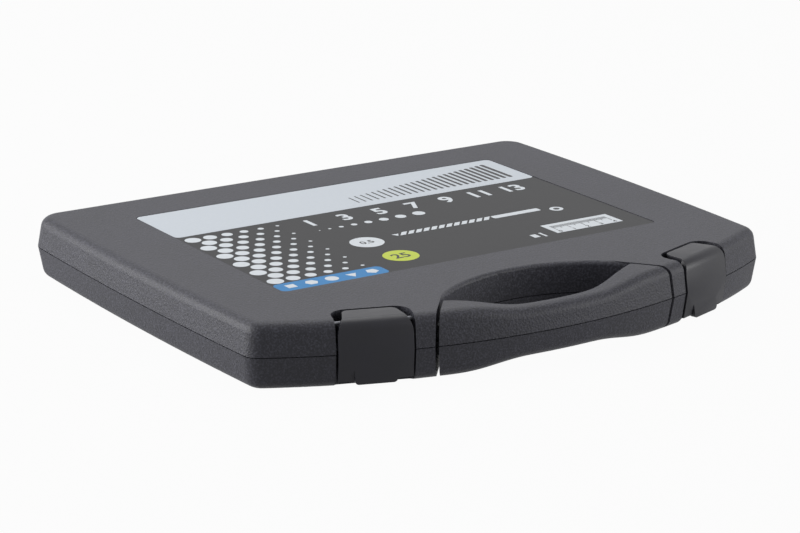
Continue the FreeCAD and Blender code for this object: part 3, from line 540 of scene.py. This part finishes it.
def bit_line_up():
    """Bars on the pale band for the case's set of bits, each a little longer and wider than the last."""
    pieces = []
    y0 = label_high.y - BAND_DEPTH + BAR_ABOVE_BAND_EDGE
    for number in range(BIT_COUNT):
        share = number / (BIT_COUNT - 1)
        half = (0.45 + 0.95 * share) * MM
        x = BAR_START + BAR_PITCH * number
        pieces.append(ink_plate(x - half, x + half, y0, y0 + (13.0 + 22.0 * share) * MM, 2, half * 0.9))
    return pieces


def dark_print():
    """What is printed dark over the pale shapes: the set of bits, ruler lines, rings and plain numbers."""
    pieces = bit_line_up()
    for tick in range(TICKS):
        length = LONG_TICK if tick % 10 == 0 else MIDDLE_TICK if tick % 5 == 0 else SHORT_TICK
        x = RULER_START + tick * TICK_PITCH
        pieces.append(ink_plate(x - TICK_WIDTH / 2, x + TICK_WIDTH / 2, RULER_TOP - length, RULER_TOP, 2))
    for number in range(5):
        x = RULER_START + number * 10 * TICK_PITCH
        pieces.append(ink_digits(str(number), x, RULER_NUMBERS_Y, RULER_NUMBER_HEIGHT, 2, 0.08 * MM))
    pieces.append(ink_digits(str(BIT_COUNT), COUNT_DISC[0], COUNT_Y, COUNT_HEIGHT, 2, 0.2 * MM))
    pieces.append(ink_digits(str(BIT_STEP), STEP_DISC[0], STEP_Y, STEP_HEIGHT, 2, 0.12 * MM))
    pieces.append(ink_disc(RING[0], RING[1], RING_HOLE, 2, 24))
    settle(joined(pieces), "label_dark_print", "lid", DARK_INK)


def size_numbers():
    """Sizes of the bits, printed on the strip below them."""
    low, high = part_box("size_strip")
    sizes = [SMALLEST_BIT + BIT_STEP * number for number in range(BIT_COUNT)]
    x = -(sum(sizes) + BIT_GAP * (BIT_COUNT - 1)) / 2
    pieces = []
    for size in sizes:
        text = "%g" % size
        height = (3.4 if len(text) < 3 else 2.7) * MM
        pieces.append(ink_digits(text, (x + size / 2) * MM, (low.y + high.y) / 2 - height / 2, height, 1,
                                 0.08 * MM, high.z))
        x += size + BIT_GAP
    settle(joined(pieces), "size_numbers", "base", DARK_INK)


def foam_pad():
    """Pad cut from sheet foam: softened edges, a skin of cut cells and a face that waves a little."""
    low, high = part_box("lid_foam")
    size = high - low
    deselect()
    bpy.ops.mesh.primitive_cube_add(size=1, location=(low + high) / 2)
    pad = bpy.context.object
    pad.scale = size
    bpy.ops.object.transform_apply(location=True, rotation=True, scale=True)
    edge = pad.modifiers.new("edge", "BEVEL")
    edge.width = FOAM_EDGE
    edge.segments = 3
    bpy.ops.object.modifier_apply(modifier=edge.name)
    for _ in range(6):
        bpy.ops.object.mode_set(mode="EDIT")
        bpy.ops.mesh.select_mode(type="EDGE")
        bpy.ops.mesh.select_all(action="DESELECT")
        bpy.ops.object.mode_set(mode="OBJECT")
        points = pad.data.vertices
        edges = pad.data.edges
        lengths = [(points[e.vertices[0]].co - points[e.vertices[1]].co).length for e in edges]
        longest = max(lengths)
        for e, length in zip(edges, lengths):
            e.select = length > longest * 0.55
        bpy.ops.object.mode_set(mode="EDIT")
        bpy.ops.mesh.subdivide(number_cuts=1)
        bpy.ops.object.mode_set(mode="OBJECT")
    middle = (low + high) / 2
    for vertex in pad.data.vertices:
        spread = vertex.co - middle
        if spread.z < -size.z * 0.4:
            wave = math.sin(spread.x / FOAM_WAVE_X) * math.cos(spread.y / FOAM_WAVE_Y)
            vertex.co.z += FOAM_DIP + FOAM_WAVE * wave
    bpy.ops.object.shade_smooth_by_angle(angle=math.radians(40))
    settle(pad, "foam_pad", "lid", FOAM)
    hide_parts("lid_foam")


def soft_edged_latch(node):
    """Latch with its sharp edges rounded, as a mould leaves them. It takes the place of the CAD node."""
    piece = bpy.data.objects.new(node + "_soft_edged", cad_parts[node].data.copy())
    bpy.context.collection.objects.link(piece)
    select_only([piece])
    bpy.ops.mesh.customdata_custom_splitnormals_clear()
    bpy.ops.object.mode_set(mode="EDIT")
    bpy.ops.mesh.select_all(action="SELECT")
    bpy.ops.mesh.remove_doubles(threshold=0.002 * MM)
    bpy.ops.mesh.dissolve_limited(angle_limit=math.radians(0.5))
    bpy.ops.object.mode_set(mode="OBJECT")
    edge = piece.modifiers.new("edge", "BEVEL")
    edge.width = LATCH_EDGE
    edge.segments = 3
    edge.limit_method = "ANGLE"
    edge.angle_limit = math.radians(40)
    bpy.ops.object.modifier_apply(modifier=edge.name)
    bpy.ops.object.shade_smooth_by_angle(angle=math.radians(35))
    settle(piece, node + "_soft_edged", node, LATCH)
    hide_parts(node)


def screw_cross():
    """Tool with the shape of a cross-head recess: two bars that narrow downwards."""
    bars = []
    for turn in (0, math.pi / 2):
        deselect()
        bpy.ops.mesh.primitive_cube_add(size=1, location=(0, 0, 0), rotation=(0, 0, turn))
        bar = bpy.context.object
        bar.scale = (SCREW_CROSS_REACH * 2, SCREW_CROSS_WIDTH, SCREW_CROSS_DEPTH * 2)
        bpy.ops.object.transform_apply(location=True, rotation=True, scale=True)
        for vertex in bar.data.vertices:
            if vertex.co.z < 0:
                vertex.co.x *= 0.6
                vertex.co.y *= 0.6
        bars.append(bar)
    return bars


def screw_model(length):
    """Pan-head screw that hangs down from the top of its head: domed rim, cross recess, thread."""
    deselect()
    bpy.ops.mesh.primitive_cylinder_add(vertices=32, radius=SCREW_HEAD_RADIUS, depth=SCREW_HEAD_HEIGHT,
                                        location=(0, 0, -SCREW_HEAD_HEIGHT / 2))
    head = bpy.context.object
    bpy.ops.object.transform_apply(location=True, rotation=True, scale=True)
    bpy.ops.object.mode_set(mode="EDIT")
    bpy.ops.mesh.select_mode(type="FACE")
    bpy.ops.mesh.select_all(action="DESELECT")
    bpy.ops.object.mode_set(mode="OBJECT")
    for face in head.data.polygons:
        face.select = face.normal.z < -0.9
    bpy.ops.object.mode_set(mode="EDIT")
    bpy.ops.mesh.inset(thickness=SCREW_HEAD_RADIUS - SCREW_CORE_RADIUS)
    turns = int((length - SCREW_HEAD_HEIGHT) / SCREW_THREAD_PITCH) - 1
    crest = SCREW_THREAD_RADIUS / SCREW_CORE_RADIUS
    for _ in range(turns):
        for size in (crest, 1 / crest):
            bpy.ops.mesh.extrude_region_move(TRANSFORM_OT_translate={"value": (0, 0, -SCREW_THREAD_PITCH / 2)})
            bpy.ops.transform.resize(value=(size, size, 1))
    left = length - SCREW_HEAD_HEIGHT - turns * SCREW_THREAD_PITCH
    bpy.ops.mesh.extrude_region_move(TRANSFORM_OT_translate={"value": (0, 0, -left)})
    bpy.ops.transform.resize(value=(0.25, 0.25, 1))
    bpy.ops.mesh.select_mode(type="EDGE")
    bpy.ops.mesh.select_all(action="DESELECT")
    bpy.ops.object.mode_set(mode="OBJECT")
    points = head.data.vertices
    for edge in head.data.edges:
        edge.select = all(points[number].co.z > -SCREW_HEAD_HEIGHT / 10 for number in edge.vertices)
    bpy.ops.object.mode_set(mode="EDIT")
    bpy.ops.mesh.bevel(offset=SCREW_HEAD_ROUND, segments=4)
    bpy.ops.object.mode_set(mode="OBJECT")
    for bar in screw_cross():
        cut = head.modifiers.new("recess", "BOOLEAN")
        cut.object = bar
        cut.solver = "EXACT"
        select_only([head])
        bpy.ops.object.modifier_apply(modifier=cut.name)
        bpy.data.objects.remove(bar)
    select_only([head])
    bpy.ops.object.shade_smooth_by_angle(angle=math.radians(35))
    return head


def screws(node, body, places, top, up):
    """Screws in place of a CAD node: places are x and y, top is the level of the heads' tops."""
    low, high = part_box(node)
    model = screw_model(high.z - low.z)
    turn = Matrix.Rotation(0 if up > 0 else math.pi, 4, "X")
    pieces = [copy_of(model, Matrix.Translation((x, y, top)) @ turn) for x, y in places]
    bpy.data.objects.remove(model)
    piece = settle(joined(pieces), node + "_cross_head", body, ZINC)
    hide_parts(node)


def all_screws():
    places = []
    for node in ("shank_rack", "waist_rack", "middle_rack", "front_rack"):
        low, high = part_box(node)
        middle = (low.y + high.y) / 2
        places += [(low.x + RACK_FOOT / 2, middle), (high.x - RACK_FOOT / 2, middle)]
    screws("rack_screws", "base", places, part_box("rack_screws")[1].z, 1)
    for node, body, up in (("lower_handle_screws", "base", 1), ("upper_handle_screws", "lid", -1)):
        low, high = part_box(node)
        middle = (low.y + high.y) / 2
        places = [(low.x + SCREW_HEAD_RADIUS, middle), (high.x - SCREW_HEAD_RADIUS, middle)]
        screws(node, body, places, high.z if up > 0 else low.z, up)


def seen_rays(tree):
    """1 for what the camera sees straight, mirrored or through glass, and 0 for plain light."""
    path = add(tree, "ShaderNodeLightPath")
    seen = add(tree, "ShaderNodeMath", {0: path.outputs["Is Camera Ray"], 1: path.outputs["Is Glossy Ray"]},
               operation="MAXIMUM")
    seen = add(tree, "ShaderNodeMath", {0: seen.outputs[0], 1: path.outputs["Is Transmission Ray"]},
               operation="MAXIMUM")
    return seen.outputs[0]


def stage():
    """White floor and soft studio light."""
    deselect()
    bpy.ops.mesh.primitive_plane_add(size=FLOOR_SIZE, location=(0, 0, 0))
    floor = bpy.context.object
    floor.name = "floor"
    white = bpy.data.materials.new("white_floor")
    white.use_nodes = True
    tree = white.node_tree
    tree.nodes.clear()
    cover = add(tree, "ShaderNodeBsdfDiffuse", {"Color": (FLOOR_GREY, FLOOR_GREY, FLOOR_GREY, 1)})
    glow = add(tree, "ShaderNodeEmission", {"Color": (1, 1, 1, 1), "Strength": 1.0})
    share = add(tree, "ShaderNodeMath", {0: seen_rays(tree), 1: FLOOR_GLOW}, operation="MULTIPLY")
    mixed = add(tree, "ShaderNodeMixShader", {0: share.outputs[0], 1: cover.outputs[0], 2: glow.outputs[0]})
    add(tree, "ShaderNodeOutputMaterial", {"Surface": mixed.outputs[0]})
    floor.data.materials.append(white)
    world = bpy.data.worlds.new("studio")
    bpy.context.scene.world = world
    world.use_nodes = True
    tree = world.node_tree
    tree.nodes.clear()
    strength = add(tree, "ShaderNodeMapRange", {"Value": seen_rays(tree), "To Min": ROOM_LIGHT, "To Max": 1.0})
    light = add(tree, "ShaderNodeBackground", {"Color": (1, 1, 1, 1), "Strength": strength.outputs["Result"]})
    add(tree, "ShaderNodeOutputWorld", {"Surface": light.outputs[0]})


def softbox(name, place, size, power):
    """Square lamp that looks at the case."""
    deselect()
    bpy.ops.object.light_add(type="AREA", location=place)
    lamp = bpy.context.object
    lamp.name = name
    lamp.data.shape = "SQUARE"
    lamp.data.size = size
    lamp.data.energy = power
    lamp.rotation_mode = "QUATERNION"
    lamp.rotation_quaternion = (-Vector(place)).to_track_quat("-Z", "Y")


def camera():
    deselect()
    bpy.ops.object.camera_add(location=CAMERA_PLACE)
    made = bpy.context.object
    made.rotation_mode = "QUATERNION"
    made.rotation_quaternion = CAMERA_LOOK.to_track_quat("-Z", "Y")
    made.data.lens = CAMERA_LENS
    made.data.clip_start = 0.05
    made.data.clip_end = 30.0
    bpy.context.scene.camera = made


camera()
stage()
for name, place, size, power in LAMPS:
    softbox(name, place, size, power)
dress_nodes()
light_band()
white_print()
blue_strip()
lime_disc()
dark_print()
size_numbers()
foam_pad()
soft_edged_latch("left_latch")
soft_edged_latch("right_latch")
all_screws()

bpy.context.scene.view_settings.view_transform = "Standard"
